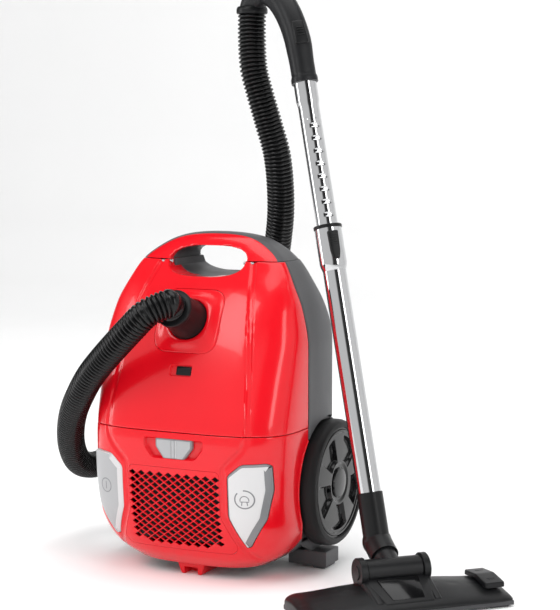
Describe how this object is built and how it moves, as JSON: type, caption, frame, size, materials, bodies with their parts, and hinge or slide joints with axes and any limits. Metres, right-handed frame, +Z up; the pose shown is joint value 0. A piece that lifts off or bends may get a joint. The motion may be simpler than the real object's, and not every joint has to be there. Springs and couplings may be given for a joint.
{
  "type": "canister vacuum cleaner",
  "caption": "Upright-parked canister vacuum cleaner with corrugated hose, curved grip, telescopic wand and floor nozzle; lid, pedals, wheels, wand and nozzle move.",
  "frame": {"origin": "on the floor under the parked body, on the seam between the red front shells and the grey back shell, half-way across the width", "axes": "+Z up, +X to the right seen from the grille side, +Y from the grille side towards the wheels' ground side"},
  "size_m": [0.6824, 0.427, 0.779],
  "materials": {
    "red_gloss": "gloss",
    "red_plain": "satin",
    "grey_shell": "satin",
    "black_plastic": "satin",
    "black_gloss": "gloss",
    "dark_inner": "satin",
    "silver_plastic": "satin",
    "pale_plastic": "satin",
    "chrome_tube": "polished",
    "steel": "machined",
    "rubber": "matte",
    "tyre": "matte",
    "filter_media": "pleated",
    "bag_fabric": "nonwoven",
    "card": "cardboard",
    "bristle": "bristles",
    "window": "tinted clear plastic",
    "orange": "satin"
  },
  "bodies": {
    "canister": {"rear_housing": "red_gloss", "base_shell": "grey_shell", "nose_housing": "red_gloss", "exhaust_grille": "red_plain", "exhaust_filter": "filter_media", "motor_casing": "dark_inner", "motor": "steel", "motor_mounts": "rubber", "pre_motor_filter": "filter_media", "dust_bag": "bag_fabric", "bag_collar": "card", "cord_outlet": "black_plastic", "power_switch": "black_plastic", "stand_feet": "rubber", "parking_hook": "red_plain", "axle_pins": "steel", "screws": "steel", "rewind_spring": "steel", "reel_axle": "steel", "hose": "black_plastic", "hose_cuff": "black_plastic", "grip": "black_plastic", "upper_tube": "chrome_tube", "latch_spring": "steel", "power_pedal_spring": "steel", "rewind_pedal_spring": "steel"},
    "lid": {"lid": "red_gloss", "lid_seal": "rubber", "port_bezel": "red_gloss", "indicator_window": "window", "hinge_pins": "steel"},
    "indicator_flag": {"indicator_flag": "orange"},
    "hose_coupling": {"hose_coupling": "black_plastic"},
    "latch": {"latch": "silver_plastic"},
    "power_pedal": {"power_pedal": "silver_plastic"},
    "rewind_pedal": {"rewind_pedal": "silver_plastic"},
    "motor_rotor": {"motor_rotor": "steel"},
    "reel_drum": {"reel_drum": "pale_plastic"},
    "reel_brake": {"reel_brake": "pale_plastic"},
    "wheel_left": {"wheel_left_rim": "black_gloss", "wheel_left_tyre": "tyre", "wheel_left_cap": "black_gloss"},
    "wheel_right": {"wheel_right_rim": "black_gloss", "wheel_right_tyre": "tyre", "wheel_right_cap": "black_gloss"},
    "caster_fork": {"caster_fork": "grey_shell"},
    "caster_wheel": {"caster_wheel": "rubber"},
    "grip_slider": {"grip_slider": "dark_inner"},
    "lower_tube": {"lower_tube": "chrome_tube", "tube_collar": "chrome_tube", "nozzle_neck": "black_plastic"},
    "tube_button": {"tube_button": "black_plastic"},
    "nozzle_barrel": {"nozzle_barrel": "black_plastic"},
    "nozzle_head": {"nozzle_head": "black_plastic", "nozzle_sole": "dark_inner"},
    "nozzle_pedal": {"nozzle_pedal": "dark_inner"},
    "nozzle_brush": {"nozzle_brush": "bristle"},
    "nozzle_rollers": {"nozzle_rollers": "rubber"}
  },
  "joints": [
    {"name": "lid_hinge", "type": "hinge", "parent": "canister", "child": "lid", "pos_m": [0, -0.0075, 0.4075], "axis": [-1, 0, 0], "range_deg": [0, 60], "deforming": ["hose"]},
    {"name": "indicator_rise", "type": "slide", "parent": "lid", "child": "indicator_flag", "axis": [0, 0.3, 0.9539], "range_m": [0, 0.01]},
    {"name": "hose_swivel", "type": "hinge", "parent": "lid", "child": "hose_coupling", "pos_m": [0, -0.06, 0.336], "axis": [0, -0.9063, 0.4226], "continuous": true, "deforming": ["hose"]},
    {"name": "latch_slide", "type": "slide", "parent": "canister", "child": "latch", "axis": [0, 0, -1], "range_m": [0, 0.005], "stiffness_N_per_m": 300, "springref_m": -0.004, "deforming": ["latch_spring"]},
    {"name": "power_press", "type": "slide", "parent": "canister", "child": "power_pedal", "axis": [0, 1, 0], "range_m": [0, 0.004], "stiffness_N_per_m": 600, "springref_m": -0.004, "deforming": ["power_pedal_spring"]},
    {"name": "rewind_press", "type": "slide", "parent": "canister", "child": "rewind_pedal", "axis": [0, 1, 0], "range_m": [0, 0.004], "stiffness_N_per_m": 600, "springref_m": -0.004, "deforming": ["rewind_pedal_spring"]},
    {"name": "brake_lift", "type": "hinge", "parent": "canister", "child": "reel_brake", "pos_m": [0.034, 0.036, 0.169], "axis": [0, -1, 0], "range_deg": [0, 8]},
    {"name": "motor_spin", "type": "hinge", "parent": "canister", "child": "motor_rotor", "pos_m": [-0.066, 0.008, 0.1], "axis": [0, 0, 1], "continuous": true},
    {"name": "reel_spin", "type": "hinge", "parent": "canister", "child": "reel_drum", "pos_m": [0.068, 0.02, 0.1], "axis": [0, 1, 0], "continuous": true},
    {"name": "wheel_left_spin", "type": "hinge", "parent": "canister", "child": "wheel_left", "pos_m": [-0.148, 0.06, 0.115], "axis": [1, 0, 0], "continuous": true},
    {"name": "wheel_right_spin", "type": "hinge", "parent": "canister", "child": "wheel_right", "pos_m": [0.148, 0.06, 0.115], "axis": [1, 0, 0], "continuous": true},
    {"name": "caster_swivel", "type": "hinge", "parent": "canister", "child": "caster_fork", "pos_m": [0, 0.114, 0.365], "axis": [0, 1, 0], "continuous": true},
    {"name": "caster_roll", "type": "hinge", "parent": "caster_fork", "child": "caster_wheel", "pos_m": [0, 0.13, 0.354], "axis": [1, 0, 0], "continuous": true},
    {"name": "air_slider", "type": "slide", "parent": "canister", "child": "grip_slider", "axis": [-0.3618, 0.2261, 0.9044], "range_m": [-0.004, 0.004]},
    {"name": "tube_slide", "type": "slide", "parent": "canister", "child": "lower_tube", "axis": [-0.2292, 0.1267, 0.9651], "range_m": [0, 0.115]},
    {"name": "tube_unlock", "type": "slide", "parent": "lower_tube", "child": "tube_button", "axis": [-0.2292, 0.1267, 0.9651], "range_m": [0, 0.004], "stiffness_N_per_m": 300, "springref_m": -0.003},
    {"name": "neck_swivel", "type": "hinge", "parent": "lower_tube", "child": "nozzle_barrel", "pos_m": [0.286, -0.066, 0.042], "axis": [-0.6288, 0.6288, 0.4573], "range_deg": [-30, 30]},
    {"name": "nozzle_tilt", "type": "hinge", "parent": "nozzle_barrel", "child": "nozzle_head", "pos_m": [0.286, -0.066, 0.042], "axis": [0.6947, 0.7193, 0], "range_deg": [-25, 25]},
    {"name": "pedal_rock", "type": "hinge", "parent": "nozzle_head", "child": "nozzle_pedal", "pos_m": [0.38092, 0.00638, 0.029], "axis": [0.6947, 0.7193, 0], "range_deg": [0, 6]},
    {"name": "brush_drop", "type": "slide", "parent": "nozzle_head", "child": "nozzle_brush", "axis": [0, 0, -1], "range_m": [0, 0.0036]},
    {"name": "roller_spin", "type": "hinge", "parent": "nozzle_head", "child": "nozzle_rollers", "pos_m": [0.28025, -0.06044, 0.009], "axis": [0.6947, 0.7193, 0], "continuous": true}
  ],
  "couplings": [
    {"joint": "brake_lift", "follows": "rewind_press", "rad_per_m": 34},
    {"joint": "brush_drop", "follows": "pedal_rock", "m_per_rad": 0.033}
  ]
}
